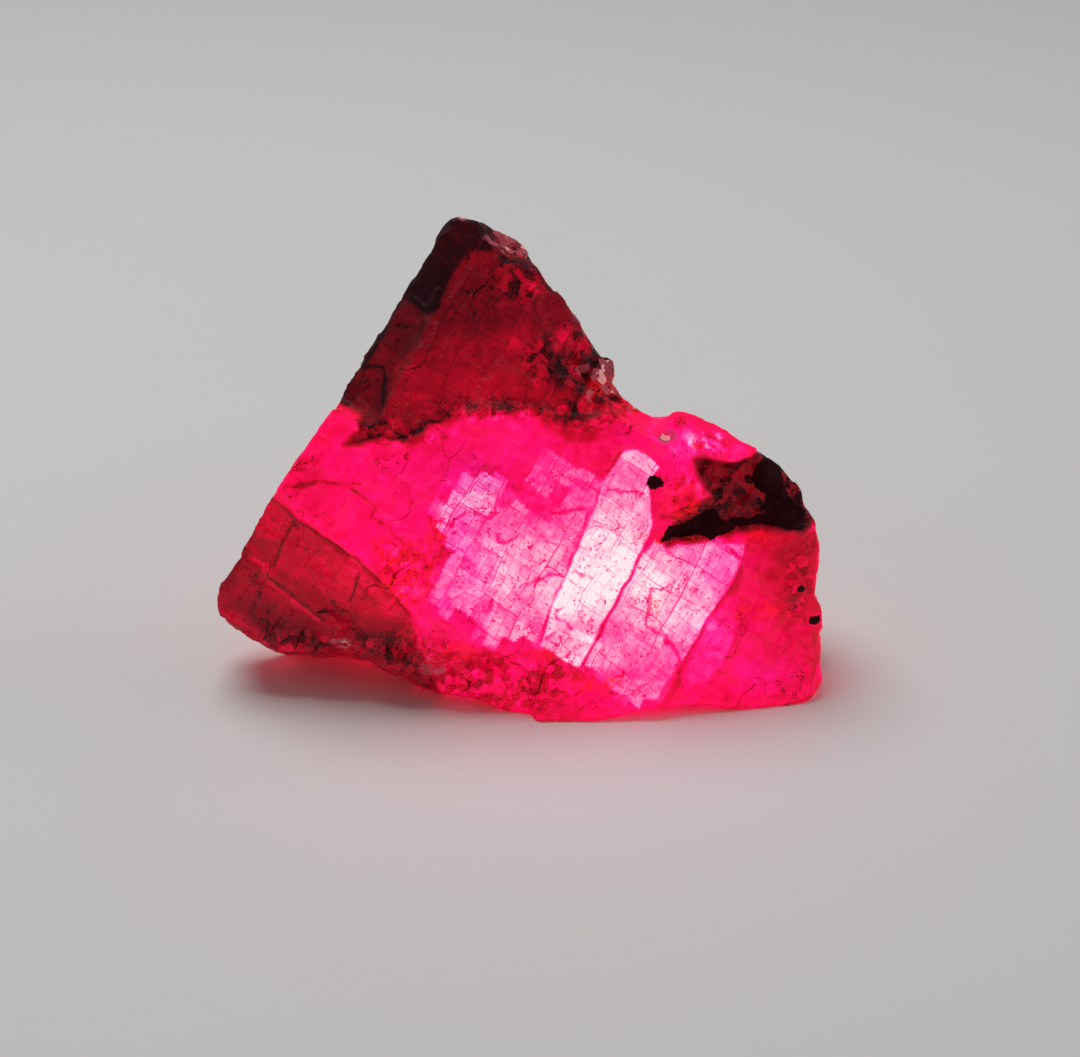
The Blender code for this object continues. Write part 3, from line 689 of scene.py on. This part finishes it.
class Recipe:
    """Adds nodes to one tree. A socket is given a number, a colour or another node's output."""

    def __init__(self, tree):
        self.tree = tree

    def add(self, kind, sockets=None, **settings):
        node = self.tree.nodes.new(kind)
        for name, value in settings.items():
            setattr(node, name, value)
        self.feed(node, sockets or {})
        return node

    def feed(self, node, sockets):
        for key, value in sockets.items():
            if isinstance(value, bpy.types.NodeSocket):
                self.tree.links.new(value, node.inputs[key])
            else:
                node.inputs[key].default_value = value

    def math(self, operation, *values, clamped=False):
        sockets = dict(enumerate(values))
        return self.add("ShaderNodeMath", sockets, operation=operation, use_clamp=clamped).outputs[0]

    def dot(self, vector, direction):
        sockets = {0: vector, 1: direction}
        return self.add("ShaderNodeVectorMath", sockets, operation="DOT_PRODUCT").outputs["Value"]

    def remap(self, value, low, high, new_low=0.0, new_high=1.0):
        sockets = {"Value": value, "From Min": low, "From Max": high, "To Min": new_low, "To Max": new_high}
        node = self.add("ShaderNodeMapRange", sockets, interpolation_type="SMOOTHSTEP")
        return node.outputs["Result"]

    def mix(self, factor, first, second, blend_type="MIX"):
        sockets = {0: factor, 6: first, 7: second}
        return self.add("ShaderNodeMix", sockets, data_type="RGBA", blend_type=blend_type).outputs[2]

    def vector_math(self, operation, *values, scale=None):
        sockets = dict(enumerate(values))
        if scale is not None:
            sockets["Scale"] = scale
        return self.add("ShaderNodeVectorMath", sockets, operation=operation).outputs[0]

    def combined(self, value, scale):
        """The same value along all three axes, scaled."""
        sockets = {"X": value, "Y": value, "Z": value}
        vector = self.add("ShaderNodeCombineXYZ", sockets).outputs["Vector"]
        return self.vector_math("SCALE", vector, scale=scale)

    def weighed(self, *parts):
        """The sum of values, each times its weight."""
        total = 0.0
        for value, weight in parts:
            total = self.math("MULTIPLY_ADD", value, weight, total)
        return total

    def cells(self, place, size, line_width):
        """Uneven cells along one axis: a steady random tone for each, and thin lines between them."""
        counted = self.math("DIVIDE", place, size)
        sockets = {"W": counted, "Scale": 1.0}
        cell = self.add("ShaderNodeTexVoronoi", sockets, voronoi_dimensions="1D")
        edge = self.add(
            "ShaderNodeTexVoronoi", sockets, voronoi_dimensions="1D", feature="DISTANCE_TO_EDGE"
        )
        tone = self.add("ShaderNodeSeparateColor", {"Color": cell.outputs["Color"]}).outputs["Red"]
        line = self.remap(self.math("MULTIPLY", edge.outputs["Distance"], size), 0.0, line_width, 1.0, 0.0)
        return tone, line

    def noise(self, vector, scale, detail=3.0, roughness=0.5, output="Fac"):
        sockets = {"Vector": vector, "Scale": scale, "Detail": detail, "Roughness": roughness}
        return self.add("ShaderNodeTexNoise", sockets).outputs[output]

    def facets(self, vector, scale):
        """Small crystal facets: two steady random tones for each, and the distance from its middle."""
        cell = self.add("ShaderNodeTexVoronoi", {"Vector": vector, "Scale": scale})
        tones = self.add("ShaderNodeSeparateColor", {"Color": cell.outputs["Color"]}).outputs
        return tones["Red"], tones["Green"], cell.outputs["Distance"]

    def ramp(self, factor, stops):
        node = self.add("ShaderNodeValToRGB", {"Fac": factor})
        elements = node.color_ramp.elements
        while len(elements) < len(stops):
            elements.new(0.5)
        for element, (position, color) in zip(elements, stops):
            element.position = position
            element.color = (*color, 1.0)
        return node.outputs["Color"]

    def attribute(self, name):
        return self.add("ShaderNodeAttribute", attribute_name=name).outputs["Fac"]


# How far the cross partings of neighbouring bands are shifted apart, at most
BAND_SHIFT = 37.0


def new_group(name, inputs, outputs):
    """A node group with number or vector sockets, and the recipe that fills it."""
    tree = bpy.data.node_groups.new(name, "ShaderNodeTree")
    for side, sockets in (("INPUT", inputs), ("OUTPUT", outputs)):
        for socket, kind in sockets.items():
            tree.interface.new_socket(socket, in_out=side, socket_type="NodeSocket" + kind)
    recipe = Recipe(tree)
    return recipe, recipe.add("NodeGroupInput").outputs, recipe.add("NodeGroupOutput")


def partings_group():
    """Parting planes: thin lines along and across the lamellae, and a steady tone for each block and band."""
    recipe, given, result = new_group(
        "Partings",
        {"Position": "Vector", "Band Width": "Float", "Block Length": "Float", "Line Width": "Float"},
        {"Lines": "Float", "Block": "Float", "Band": "Float"},
    )
    across = recipe.dot(given["Position"], ACROSS_LAMELLAE)
    along = recipe.dot(given["Position"], ACROSS_CROSS)
    band, band_line = recipe.cells(across, given["Band Width"], given["Line Width"])
    shifted = recipe.math("MULTIPLY_ADD", band, BAND_SHIFT, along)
    block, block_line = recipe.cells(shifted, given["Block Length"], given["Line Width"])
    lines = recipe.math("MAXIMUM", band_line, block_line)
    recipe.feed(result, {"Lines": lines, "Block": block, "Band": band})
    return recipe.tree


def cracks_group():
    """Irregular cracks that run back through the stone."""
    recipe, given, result = new_group(
        "Cracks",
        {"Position": "Vector", "Cell Size": "Float", "Width": "Float"},
        {"Cracks": "Float"},
    )
    inverse = recipe.math("DIVIDE", 1.0, given["Cell Size"])
    place = recipe.vector_math("SCALE", given["Position"], scale=inverse)
    split = recipe.add("ShaderNodeSeparateXYZ", {"Vector": place}).outputs
    place = recipe.add("ShaderNodeCombineXYZ", {"X": split["X"], "Y": split["Z"]}).outputs["Vector"]
    edge = recipe.add(
        "ShaderNodeTexVoronoi",
        {"Vector": place, "Scale": 1.0},
        voronoi_dimensions="2D",
        feature="DISTANCE_TO_EDGE",
    ).outputs["Distance"]
    edge = recipe.math("MULTIPLY", edge, given["Cell Size"])
    recipe.feed(result, {"Cracks": recipe.remap(edge, 0.0, given["Width"], 1.0, 0.0)})
    return recipe.tree


def stone_position(recipe):
    """Object coordinates turned into the stone's own frame, in millimetres."""
    coordinates = recipe.add("ShaderNodeTexCoord").outputs["Object"]
    location, rotation, scale = WORLD_TO_STONE.decompose()
    sockets = {"Vector": coordinates, "Location": location, "Rotation": rotation.to_euler(), "Scale": scale}
    return recipe.add("ShaderNodeMapping", sockets).outputs["Vector"]


def group_node(recipe, tree, sockets):
    return recipe.add("ShaderNodeGroup", sockets, node_tree=tree).outputs


# The stone's colours from its black tip to its white-hot middle; the pale pink and white end is painted light
# from behind shining through
RUBY_AND_BACKLIGHT_TONES = [
    (0.00, (0.0010, 0.0001, 0.0003)),
    (0.10, (0.050, 0.0004, 0.0025)),
    (0.20, (0.165, 0.0006, 0.0060)),
    (0.30, (0.320, 0.0006, 0.0130)),
    (0.40, (0.540, 0.0006, 0.0250)),
    (0.50, (0.820, 0.0008, 0.0800)),
    (0.60, (0.970, 0.0020, 0.1650)),
    (0.70, (0.950, 0.0280, 0.2950)),
    (0.80, (0.930, 0.1750, 0.4750)),
    (0.90, (0.945, 0.5000, 0.6900)),
    (1.00, (0.980, 0.9000, 0.9400)),
]
# What a fully violet spot multiplies the red by, and what the painted glow's colour is multiplied by for the
# surface
VIOLET_SHIFT = (0.92, 1.3, 1.35, 1.0)
SURFACE_SHARE = (0.6, 0.6, 0.6, 1.0)
BLACK = (0.0, 0.0, 0.0, 1.0)

# Sizes of the patterns in millimetres, and how many facets there are in one
COARSE_PARTINGS = {"Band Width": 1.5, "Block Length": 1.3, "Line Width": 0.035}
FINE_PARTINGS = {"Band Width": 0.42, "Block Length": 0.5, "Line Width": 0.022}
WIDE_CRACKS = {"Cell Size": 2.1, "Width": 0.05}
CRACKLE = {"Cell Size": 0.85, "Width": 0.045}
FACETS_PER_MM = 2.9

# How much each pattern changes the tone
BLOCK_CHANGE = 0.09
BAND_CHANGE = 0.07
FINE_BLOCK_CHANGE = 0.045
MEAN_BLOCK_CHANGE = 0.10
LINE_CHANGE = 0.19
FINE_LINE_CHANGE = 0.14
SPECK_CHANGE = 0.22
CRACKLE_CHANGE = 0.26
VEIN_CHANGE = -0.16
PIECE_CHANGE = (-0.11, 0.12)
CLOUD_CHANGE = 0.03
MOTTLE_CHANGE = 0.045
CRACK_CHANGE = -0.30

# Between which values of its pattern each effect sets in
NOISE_RANGE = (0.3, 0.7)
LINES_SHOWN = (0.42, 0.56)
SPECKS_SHOWN = (0.66, 0.76)
CRACKLE_SHOWN = (0.47, 0.55)
CRACKS_SHOWN = (0.50, 0.56)
FRACTURES_SHOWN = (0.15, 0.6)
SHADES_SHOWN = (0.0, 0.4)
VIOLET_SHOWN = (0.35, 0.6)
STAIN_SHOWN = (0.2, 0.7)
STAIN_PATCHES = (0.54, 0.64)
FROST_SHOWN = (0.98, 1.12)
# Painted glints set in between these values
GLINTS_SHOWN = (1.16, 1.21)
RUST_SHOWN = (0.90, 1.06)
MATRIX_SHOWN = (0.42, 0.55)

# The surface: how rough it is from its smooth to its mottled places, and what frost, edges and matrix add
ROUGHNESS = (0.26, 0.44)
FROST_ROUGHNESS = 0.2
EDGE_ROUGHNESS = 0.5
MATRIX_ROUGHNESS = 0.45
BUMP_STRENGTH = 0.6
BUMP_DEPTH = 0.08 * MM

# The clear crystal
RUBY_IOR = 1.77
RUBY_CLARITY = 0.35
RUBY_SPECULAR = 0.25
RUBY_SHEEN_TINT = (1.0, 0.35, 0.45, 1.0)
RUBY_ABSORPTION = (1.0, 0.06, 0.20, 1.0)
RUBY_DENSITY = 160.0


def shared_patterns(recipe):
    """Positions and noises that the stone's colour and surface share, by name."""
    place = stone_position(recipe)
    drift = recipe.noise(place, 0.5, 1.0, output="Color")
    drifts = recipe.add("ShaderNodeSeparateColor", {"Color": drift}).outputs
    mottle = recipe.noise(place, 2.4, 3.0, 0.62)
    wander = recipe.vector_math("SUBTRACT", drift, (0.5, 0.5, 0.5))
    wavy = recipe.vector_math("ADD", place, recipe.vector_math("SCALE", wander, scale=0.5))
    jagged = recipe.vector_math("ADD", wavy, recipe.vector_math("SCALE", wander, scale=2.6))
    jagged = recipe.vector_math("ADD", jagged, recipe.combined(recipe.math("SUBTRACT", mottle, 0.5), 1.6))
    facet, glint, facet_middle = recipe.facets(wavy, FACETS_PER_MM)
    return {
        "cloud": drifts["Green"],
        "opening": drifts["Blue"],
        "mottle": mottle,
        "grain": recipe.noise(place, 9.0, 1.0),
        "wavy": wavy,
        "jagged": jagged,
        "facet": facet,
        "glint": glint,
        "facet_middle": facet_middle,
    }


def lattice_pattern(recipe, shared, crackle):
    """The change of tone by blocks and lines of the lattice, and by specks and crackle."""
    partings = partings_group()
    coarse = group_node(recipe, partings, {"Position": shared["wavy"], **COARSE_PARTINGS})
    fine = group_node(recipe, partings, {"Position": shared["wavy"], **FINE_PARTINGS})
    blocks = recipe.weighed(
        (coarse["Block"], BLOCK_CHANGE), (coarse["Band"], BAND_CHANGE), (fine["Block"], FINE_BLOCK_CHANGE)
    )
    blocks = recipe.math("SUBTRACT", blocks, MEAN_BLOCK_CHANGE)
    lines = recipe.weighed((coarse["Lines"], LINE_CHANGE), (fine["Lines"], FINE_LINE_CHANGE))
    lines = recipe.math("MULTIPLY", lines, recipe.remap(shared["cloud"], *LINES_SHOWN, 0.30, 1.0))
    crackle = recipe.math("MULTIPLY", crackle, recipe.remap(shared["grain"], *CRACKLE_SHOWN))
    specks = recipe.remap(shared["grain"], *SPECKS_SHOWN)
    specks = recipe.weighed((specks, SPECK_CHANGE), (crackle, CRACKLE_CHANGE))
    return recipe.math("SUBTRACT", recipe.math("SUBTRACT", blocks, lines), specks)


def fracture_pattern(recipe, shared):
    """The change of tone by small angular pieces, and by the dark veins between them."""
    from_vein = recipe.math("ABSOLUTE", recipe.math("SUBTRACT", shared["mottle"], 0.47))
    veins = recipe.remap(from_vein, 0.0, 0.035, VEIN_CHANGE, 0.0)
    return recipe.math("ADD", recipe.remap(shared["facet"], 0.0, 1.0, *PIECE_CHANGE), veins)


def ruby_tone(recipe, shared):
    """The stone's tone before its stains: zones with their painted light and shade, lattice, fractures,
    clouds and cracks.
    """
    cracks = cracks_group()
    crack = group_node(recipe, cracks, {"Position": shared["jagged"], **WIDE_CRACKS})["Cracks"]
    crack = recipe.math("MULTIPLY", crack, recipe.remap(shared["opening"], *CRACKS_SHOWN))
    crack = recipe.math("MAXIMUM", crack, recipe.attribute("cracks"))
    crackle = group_node(recipe, cracks, {"Position": shared["jagged"], **CRACKLE})["Cracks"]

    zone_tone = recipe.attribute("tone")
    pattern = lattice_pattern(recipe, shared, crackle)
    tone = recipe.math("MULTIPLY_ADD", pattern, recipe.attribute("lattice"), zone_tone)
    fractured = recipe.remap(recipe.attribute("fractured"), *FRACTURES_SHOWN)
    tone = recipe.math("MULTIPLY_ADD", fracture_pattern(recipe, shared), fractured, tone)
    clouds = recipe.remap(shared["cloud"], *NOISE_RANGE, -CLOUD_CHANGE, CLOUD_CHANGE)
    mottles = recipe.remap(shared["mottle"], *NOISE_RANGE, -MOTTLE_CHANGE, MOTTLE_CHANGE)
    shades = recipe.math("ADD", clouds, mottles)
    shades = recipe.math("MULTIPLY", shades, recipe.remap(zone_tone, *SHADES_SHOWN, 0.15, 1.0))
    tone = recipe.math("ADD", tone, shades)
    return recipe.math("MULTIPLY_ADD", crack, CRACK_CHANGE, tone)


def ruby_color(recipe, shared):
    """The stone's clean colour with its painted light and shade: its tone as a red, leaning to violet in
    places.
    """
    color = recipe.ramp(ruby_tone(recipe, shared), RUBY_AND_BACKLIGHT_TONES)
    strength = recipe.remap(shared["cloud"], *VIOLET_SHOWN, 0.4, 1.0)
    violet = recipe.math("MULTIPLY", recipe.attribute("violet"), strength)
    return recipe.mix(violet, color, VIOLET_SHIFT, "MULTIPLY")


def stained(recipe, shared, color, settings):
    """The colour with iron stain in veins and patches."""
    veins = recipe.math("ABSOLUTE", recipe.math("SUBTRACT", shared["mottle"], 0.5))
    patches = recipe.remap(shared["mottle"], *STAIN_PATCHES)
    veined = recipe.math("MAXIMUM", recipe.remap(veins, 0.0, 0.05, 1.0, 0.0), patches)
    stain = recipe.math("MULTIPLY", recipe.remap(recipe.attribute("stain"), *STAIN_SHOWN), veined)
    return recipe.mix(recipe.math("MULTIPLY", stain, 0.8), color, (*settings.stain_color, 1.0))


def frosted(recipe, shared, color, settings):
    """The colour with sugary broken patches and their painted glints, and how much of it is frost."""
    strength = recipe.attribute("frost")
    patchy = recipe.weighed((strength, 1.0), (shared["mottle"], 0.7), (shared["facet"], 0.45))
    frost = recipe.remap(patchy, *FROST_SHOWN)
    facets = recipe.remap(shared["facet"], 0.0, 1.0, 0.15, 1.0)
    sugary = recipe.mix(facets, color, (*settings.frost_color, 1.0))
    # Painted glints: the facets past the threshold take the pale glint colour
    glint = recipe.math("MULTIPLY_ADD", strength, 0.5, shared["glint"])
    sugary = recipe.mix(recipe.remap(glint, *GLINTS_SHOWN), sugary, (*settings.glint_color, 1.0))
    return recipe.mix(recipe.math("MULTIPLY", frost, 0.75), color, sugary), frost


def rusted(recipe, shared, color, settings):
    """The colour with flecks of rusty red in the ground of the matrix."""
    flecks = recipe.weighed((shared["mottle"], 1.0), (shared["grain"], 0.6), (shared["facet"], 0.3))
    rusty = recipe.math("MULTIPLY", recipe.attribute("rust"), recipe.remap(flecks, *RUST_SHOWN))
    return recipe.mix(rusty, color, (*settings.rust_color, 1.0))


def matrix_pattern(recipe, shared):
    """1 on the dark matrix and 0 off it, with a ragged edge."""
    cover = recipe.attribute("matrix")
    ragged = recipe.weighed((cover, 1.0), (shared["mottle"], 1.1), (shared["grain"], 0.5))
    return recipe.remap(recipe.math("SUBTRACT", ragged, 0.80), *MATRIX_SHOWN)


def surface_roughness(recipe, shared, frost, matrix):
    rough = recipe.remap(shared["mottle"], *NOISE_RANGE, *ROUGHNESS)
    rough = recipe.math("MULTIPLY_ADD", frost, FROST_ROUGHNESS, rough)
    rough = recipe.math("MULTIPLY_ADD", recipe.attribute("edges"), EDGE_ROUGHNESS, rough)
    return recipe.math("MULTIPLY_ADD", matrix, MATRIX_ROUGHNESS, rough, clamped=True)


def surface_height(recipe, shared, matrix):
    """Fine crumbs, strongest on matrix and frost, over a soft unevenness."""
    pitted = recipe.math("MAXIMUM", matrix, recipe.attribute("frost"))
    crumbs = recipe.math("MULTIPLY_ADD", shared["facet_middle"], 1.2, shared["grain"])
    height = recipe.math("MULTIPLY", crumbs, recipe.math("MULTIPLY_ADD", pitted, 1.0, 0.10))
    return recipe.math("MULTIPLY_ADD", shared["mottle"], 0.35, height)


def make_clear(recipe, shader, output, settings):
    """A see-through crystal that takes up light, and glows by itself with a painted glow: light from behind
    shining through it, and in part the ruby's own red fluorescence.
    """
    look = {
        "Emission Strength": settings.glow,
        "Metallic": 0.0,
        "IOR": RUBY_IOR,
        "Transmission Weight": RUBY_CLARITY,
        "Specular IOR Level": RUBY_SPECULAR,
        "Specular Tint": RUBY_SHEEN_TINT,
    }
    recipe.feed(shader, look)
    absorption = recipe.add("ShaderNodeVolumeAbsorption", {"Color": RUBY_ABSORPTION, "Density": RUBY_DENSITY})
    recipe.feed(output, {"Volume": absorption.outputs["Volume"]})


def ruby_material(settings):
    """Clear red crystal with a painted glow, partings, cracks, stains, frosted breaks with painted glints,
    rust and matrix.
    """
    material = bpy.data.materials.new("ruby")
    material.use_nodes = True
    material.cycles.emission_sampling = "NONE"
    tree = material.node_tree
    shader = tree.nodes["Principled BSDF"]
    recipe = Recipe(tree)
    shared = shared_patterns(recipe)
    color = stained(recipe, shared, ruby_color(recipe, shared), settings)
    color, frost = frosted(recipe, shared, color, settings)
    color = rusted(recipe, shared, color, settings)
    matrix = matrix_pattern(recipe, shared)
    surface = recipe.mix(matrix, color, (*settings.matrix_color, 1.0))
    surface = recipe.mix(1.0, surface, SURFACE_SHARE, "MULTIPLY")
    dulled = recipe.math("MAXIMUM", matrix, recipe.math("MULTIPLY", frost, 0.4))
    # Painted glow: the colour, dimmed on matrix and frost, is emitted as if light from behind shone through
    # the stone, and in part as the ruby's own red fluorescence
    painted_glow_color = recipe.mix(recipe.math("SUBTRACT", 1.0, dulled), BLACK, color)
    height = surface_height(recipe, shared, matrix)
    bump = recipe.add("ShaderNodeBump", {"Height": height, "Strength": BUMP_STRENGTH, "Distance": BUMP_DEPTH})
    roughness = surface_roughness(recipe, shared, frost, matrix)
    recipe.feed(shader, {"Base Color": surface, "Roughness": roughness, "Emission Color": painted_glow_color})
    recipe.feed(shader, {"Normal": bump.outputs["Normal"]})
    make_clear(recipe, shader, tree.nodes["Material Output"], settings)
    return material


class OBJECT_OT_ruby_crystal(bpy.types.Operator):
    """Weathers a copy of the solid crystal, and gives it its ruby and matrix finish, with painted glow,
    glints and shade
    """

    bl_idname = "ruby.crystal"
    bl_label = "Ruby Crystal"

    def execute(self, context):
        settings = context.scene.ruby_settings
        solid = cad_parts["ruby_crystal"]
        stone = bpy.data.objects.new("raw_ruby", solid.data.copy())
        context.scene.collection.objects.link(stone)
        reshape(stone, into_stone_frame)
        grain = stone.modifiers.new("even_grain", "REMESH")
        grain.mode = "VOXEL"
        grain.voxel_size = GRAIN
        bake(stone)
        reshape(stone, refine_front)
        reshape(stone, lambda shape: weather(shape, settings))
        reshape(stone, lambda shape: crease(shape, CREASE_DEG))
        paint_zones(stone.data)
        stone.data.transform(STONE_TO_WORLD)
        stone.data.materials.clear()
        stone.data.materials.append(ruby_material(settings))
        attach(stone, "root")
        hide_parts("ruby_crystal")
        return {"FINISHED"}


# The stage: where the lights stand and how wide they are, what is lit and seen, and the studio's air
OVERHEAD_PLACE = (-0.05, 0.05, 0.20)
OVERHEAD_WIDTH = 0.16
BESIDE_PLACE = (0.20, 0.02, 0.08)
BESIDE_WIDTH = 0.14
LIT_POINT = (0.0, 0.0, 0.008)
FLOOR_HALF_WIDTH = 1.5
AIR_COLOR = (0.80, 0.82, 0.85, 1.0)
AIR_STRENGTH = 0.20
CAMERA_ELEVATION_DEG = 24.0
CAMERA_LENS = 100.0
CAMERA_REACH = (0.001, 10.0)
SEEN_POINT = Vector((0.0, -0.0015, 0.0095))
CAMERA_DISTANCE = 0.1165
SHIFT_RIGHT = 0.00075
SHIFT_DOWN = 0.00271


def soft_light(name, place, width, power):
    light = bpy.data.lights.new(name, "AREA")
    light.shape = "DISK"
    light.size = width
    light.energy = power
    lamp = bpy.data.objects.new(name, light)
    lamp.location = place
    lamp.rotation_euler = (Vector(place) - Vector(LIT_POINT)).to_track_quat("Z", "Y").to_euler()
    lamp.visible_camera = False
    bpy.context.scene.collection.objects.link(lamp)


def floor_material(settings):
    material = bpy.data.materials.new("floor")
    material.use_nodes = True
    look = {"Base Color": (*settings.floor_color, 1.0), "Roughness": 0.7, "Specular IOR Level": 0.2}
    Recipe(material.node_tree).feed(material.node_tree.nodes["Principled BSDF"], look)
    return material


class OBJECT_OT_ruby_stage(bpy.types.Operator):
    """Lays a plain pale floor, and sets soft lights and the camera"""

    bl_idname = "ruby.stage"
    bl_label = "Stage"

    def execute(self, context):
        scene = context.scene
        settings = scene.stage_settings
        shape = bmesh.new()
        bmesh.ops.create_grid(shape, x_segments=1, y_segments=1, size=FLOOR_HALF_WIDTH)
        mesh = bpy.data.meshes.new("floor")
        shape.to_mesh(mesh)
        shape.free()
        floor = bpy.data.objects.new("floor", mesh)
        scene.collection.objects.link(floor)
        mesh.materials.append(floor_material(settings))

        soft_light("overhead", OVERHEAD_PLACE, OVERHEAD_WIDTH, settings.key_power)
        soft_light("beside", BESIDE_PLACE, BESIDE_WIDTH, settings.side_power)
        world = bpy.data.worlds.new("studio")
        world.use_nodes = True
        air = {"Color": AIR_COLOR, "Strength": AIR_STRENGTH}
        Recipe(world.node_tree).feed(world.node_tree.nodes["Background"], air)
        scene.world = world
        scene.view_settings.view_transform = "Standard"
        place_camera(scene)
        return {"FINISHED"}


def place_camera(scene):
    """The camera looks down a little at the flat front face."""
    elevation = math.radians(CAMERA_ELEVATION_DEG)
    back = Vector((0.0, -math.cos(elevation), math.sin(elevation)))
    data = bpy.data.cameras.new("camera")
    data.lens = CAMERA_LENS
    data.clip_start, data.clip_end = CAMERA_REACH
    camera = bpy.data.objects.new("camera", data)
    turn = (-back).to_track_quat("-Z", "Y")
    camera.rotation_mode = "QUATERNION"
    camera.rotation_quaternion = turn
    right = turn @ Vector((1.0, 0.0, 0.0))
    up = turn @ Vector((0.0, 1.0, 0.0))
    camera.location = SEEN_POINT + back * CAMERA_DISTANCE + right * SHIFT_RIGHT - up * SHIFT_DOWN
    scene.collection.objects.link(camera)
    scene.camera = camera


class VIEW3D_PT_ruby(bpy.types.Panel):
    """Lists the steps that dress the stone"""

    bl_idname = "VIEW3D_PT_ruby"
    bl_label = "Raw Ruby Crystal"
    bl_space_type = "VIEW_3D"
    bl_region_type = "UI"
    bl_category = "Ruby"

    def draw(self, context):
        layout = self.layout
        ruby = context.scene.ruby_settings
        for name in ("side_relief", "block_step", "glow"):
            layout.prop(ruby, name)
        for part in ("matrix", "rust", "stain", "frost", "glint"):
            layout.prop(ruby, part + "_color")
        layout.operator("ruby.crystal")
        stage = context.scene.stage_settings
        for name in ("floor_color", "key_power", "side_power"):
            layout.prop(stage, name)
        layout.operator("ruby.stage")


CLASSES = (RubySettings, StageSettings, OBJECT_OT_ruby_crystal, OBJECT_OT_ruby_stage, VIEW3D_PT_ruby)


def register():
    for cls in CLASSES:
        bpy.utils.register_class(cls)
    bpy.types.Scene.ruby_settings = PointerProperty(type=RubySettings)
    bpy.types.Scene.stage_settings = PointerProperty(type=StageSettings)


def unregister():
    del bpy.types.Scene.stage_settings
    del bpy.types.Scene.ruby_settings
    for cls in reversed(CLASSES):
        bpy.utils.unregister_class(cls)


def main():
    register()
    bpy.ops.ruby.crystal()
    bpy.ops.ruby.stage()


if __name__ == "__main__":
    main()
